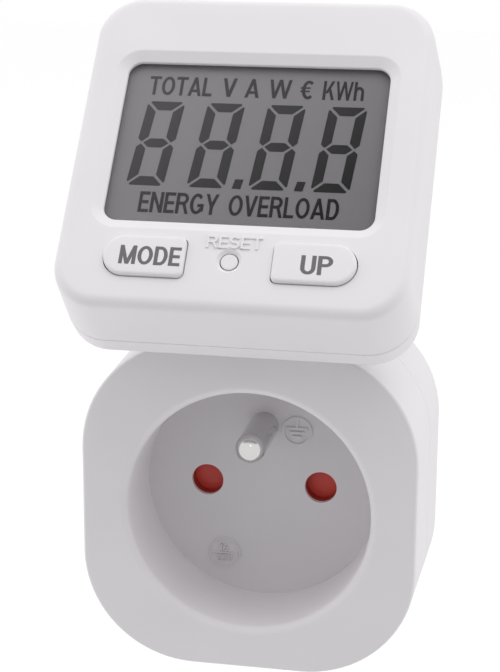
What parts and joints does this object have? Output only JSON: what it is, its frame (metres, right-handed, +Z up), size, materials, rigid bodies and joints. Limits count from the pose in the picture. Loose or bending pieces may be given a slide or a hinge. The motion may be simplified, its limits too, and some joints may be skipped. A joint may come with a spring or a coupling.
{
  "type": "plug-in energy monitor",
  "caption": "White plug-in energy monitor: a through-socket with a round well and red shutters under a tilting display head with a grey screen and keys.",
  "frame": {"origin": "midpoint between the two plug pins on the plug's face", "axes": "+Y along the plug pins into the wall, +Z up, the socket and the screen face -Y"},
  "size_m": [0.0548, 0.0828, 0.1052],
  "materials": {
    "white_plastic": "satin moulded",
    "well_plastic": "satin moulded",
    "key_plastic": "satin moulded",
    "red_plastic": "moulded",
    "dark_red_plastic": "moulded",
    "nickel": "nickel plated",
    "brass": "plain",
    "spring_steel": "zinc plated",
    "board_laminate": "solder mask",
    "grey_plastic": "moulded",
    "black_plastic": "moulded",
    "wire_insulation": "extruded",
    "clear_lens": "clear",
    "display_glass": "reflective display",
    "contact_rubber": "elastomer"
  },
  "bodies": {
    "socket": {"socket_front_shell": "white_plastic", "socket_floor": "well_plastic", "socket_rear_shell": "white_plastic", "shutter_housing": "dark_red_plastic", "shutter_plate": "well_plastic", "earth_pin": "nickel", "live_contact": "brass", "neutral_contact": "brass", "live_plug_pin": "nickel", "neutral_plug_pin": "nickel", "plug_earth_sleeve": "brass", "earth_strap": "brass", "earth_clips": "nickel", "metering_board": "board_laminate", "film_capacitor": "grey_plastic", "smoothing_capacitor": "black_plastic", "current_shunt": "brass", "metering_chip": "black_plastic", "base_loom": "wire_insulation", "housing_screws": "spring_steel", "hinge_caps": "white_plastic"},
    "head": {"head_bezel": "white_plastic", "head_back": "white_plastic", "window_lens": "clear_lens", "lcd_panel": "display_glass", "lcd_frame": "well_plastic", "zebra_strips": "contact_rubber", "display_board": "board_laminate", "display_chip": "black_plastic", "key_switches": "black_plastic", "backup_cell": "spring_steel", "cell_clip": "nickel", "head_screws": "spring_steel", "hinge_tube": "nickel", "hinge_pin": "nickel", "friction_washers": "spring_steel", "head_loom": "wire_insulation", "head_header": "grey_plastic"},
    "shutter": {"shutter_rotor": "red_plastic", "shutter_spring": "spring_steel"},
    "mode_key": {"mode_button": "key_plastic", "mode_plunger": "black_plastic"},
    "up_key": {"up_button": "key_plastic", "up_plunger": "black_plastic"},
    "reset_key": {"reset_button": "key_plastic", "reset_plunger": "black_plastic"}
  },
  "joints": [
    {"name": "head_tilt", "type": "hinge", "parent": "socket", "child": "head", "pos_m": [0, -0.041, 0.0344], "axis": [-1, 0, 0], "range_deg": [-39.65, 5.35]},
    {"name": "shutter_turn", "type": "hinge", "parent": "socket", "child": "shutter", "pos_m": [0, -0.0272, 0], "axis": [0, 1, 0], "range_deg": [0, 40], "stiffness_Nm_per_rad": 0.001, "springref_deg": -28.65},
    {"name": "mode_press", "type": "slide", "parent": "head", "child": "mode_key", "axis": [0, 0.77, -0.6381], "range_m": [0, 0.0005], "stiffness_N_per_m": 300, "springref_m": -0.0005},
    {"name": "up_press", "type": "slide", "parent": "head", "child": "up_key", "axis": [0, 0.77, -0.6381], "range_m": [0, 0.0005], "stiffness_N_per_m": 300, "springref_m": -0.0005},
    {"name": "reset_press", "type": "slide", "parent": "head", "child": "reset_key", "axis": [0, 0.77, -0.6381], "range_m": [0, 0.0005], "stiffness_N_per_m": 300, "springref_m": -0.0005}
  ]
}
